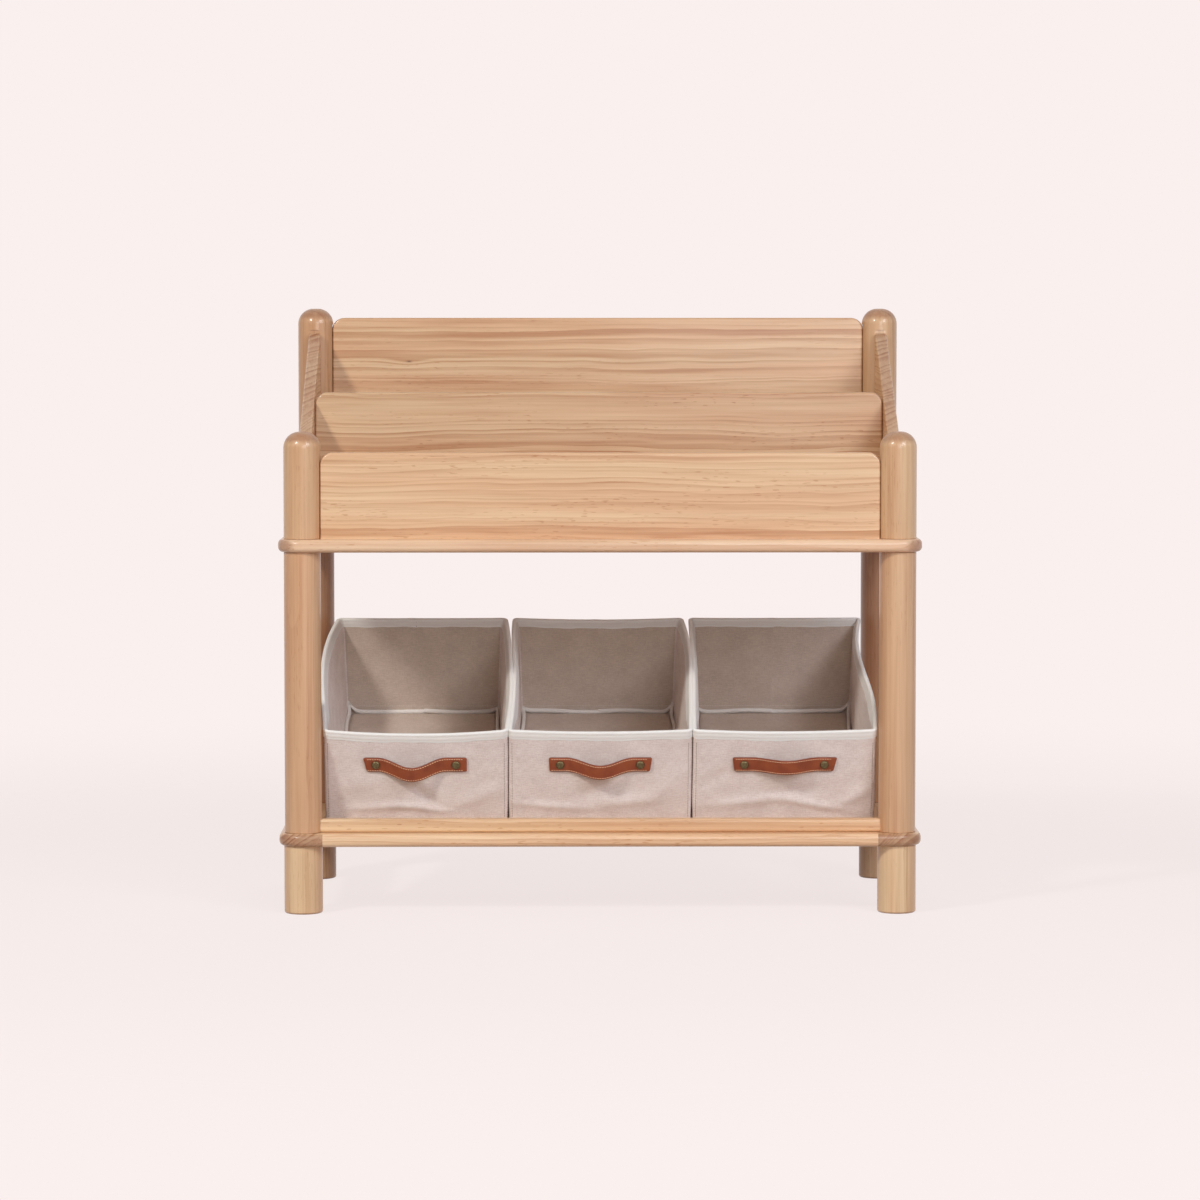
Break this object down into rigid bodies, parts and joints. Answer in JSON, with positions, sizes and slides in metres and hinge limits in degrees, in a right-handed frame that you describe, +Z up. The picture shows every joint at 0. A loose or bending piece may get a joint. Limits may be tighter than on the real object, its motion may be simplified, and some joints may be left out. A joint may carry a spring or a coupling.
{
  "type": "children's bookshelf",
  "caption": "Low wooden children's bookshelf: stepped display panels between round domed posts, over a row of tilted fabric bins with leather strap handles that pull out.",
  "frame": {"origin": "on the floor, under the middle of the bookshelf", "axes": "+X to the right seen from the front, +Y to the back, +Z up"},
  "size_m": [0.8, 0.4, 0.751],
  "materials": {
    "pine": "clear satin lacquer",
    "dowel_wood": "bare",
    "stud_steel": "zinc plated",
    "insert_brass": "bare",
    "bin_canvas": "plain-weave canvas",
    "binding_tape": "cotton twill tape",
    "base_cloth": "cloth-covered board",
    "strap_leather": "smooth tan leather, stitched edges",
    "rivet_brass": "antique brass"
  },
  "bodies": {
    "frame": {"left_front_upper_post": "pine", "left_front_leg": "pine", "left_front_foot": "pine", "left_rear_upper_post": "pine", "left_rear_leg": "pine", "left_rear_foot": "pine", "right_front_upper_post": "pine", "right_front_leg": "pine", "right_front_foot": "pine", "right_rear_upper_post": "pine", "right_rear_leg": "pine", "right_rear_foot": "pine", "left_end_panel": "pine", "left_end_rail": "pine", "right_end_panel": "pine", "right_end_rail": "pine", "front_panel": "pine", "middle_panel": "pine", "back_panel": "pine", "upper_shelf": "pine", "front_rail": "pine", "front_lip": "pine", "slanted_shelf": "pine", "rear_support_rail": "pine", "shelf_studs": "stud_steel", "foot_studs": "stud_steel", "threaded_inserts": "insert_brass", "panel_dowels": "dowel_wood", "end_panel_dowels": "dowel_wood", "rail_dowels": "dowel_wood"},
    "left_bin": {"left_bin_shell": "bin_canvas", "left_bin_rim_binding": "binding_tape", "left_bin_floor_binding": "binding_tape", "left_bin_base_board": "base_cloth", "left_bin_strap": "strap_leather", "left_bin_rivets": "rivet_brass"},
    "middle_bin": {"middle_bin_shell": "bin_canvas", "middle_bin_rim_binding": "binding_tape", "middle_bin_floor_binding": "binding_tape", "middle_bin_base_board": "base_cloth", "middle_bin_strap": "strap_leather", "middle_bin_rivets": "rivet_brass"},
    "right_bin": {"right_bin_shell": "bin_canvas", "right_bin_rim_binding": "binding_tape", "right_bin_floor_binding": "binding_tape", "right_bin_base_board": "base_cloth", "right_bin_strap": "strap_leather", "right_bin_rivets": "rivet_brass"}
  },
  "joints": [
    {"name": "left_bin_pull", "type": "slide", "parent": "frame", "child": "left_bin", "axis": [0, -0.9617, 0.2741], "range_m": [0, 0.4]},
    {"name": "middle_bin_pull", "type": "slide", "parent": "frame", "child": "middle_bin", "axis": [0, -0.9617, 0.2741], "range_m": [0, 0.4]},
    {"name": "right_bin_pull", "type": "slide", "parent": "frame", "child": "right_bin", "axis": [0, -0.9617, 0.2741], "range_m": [0, 0.4]}
  ]
}
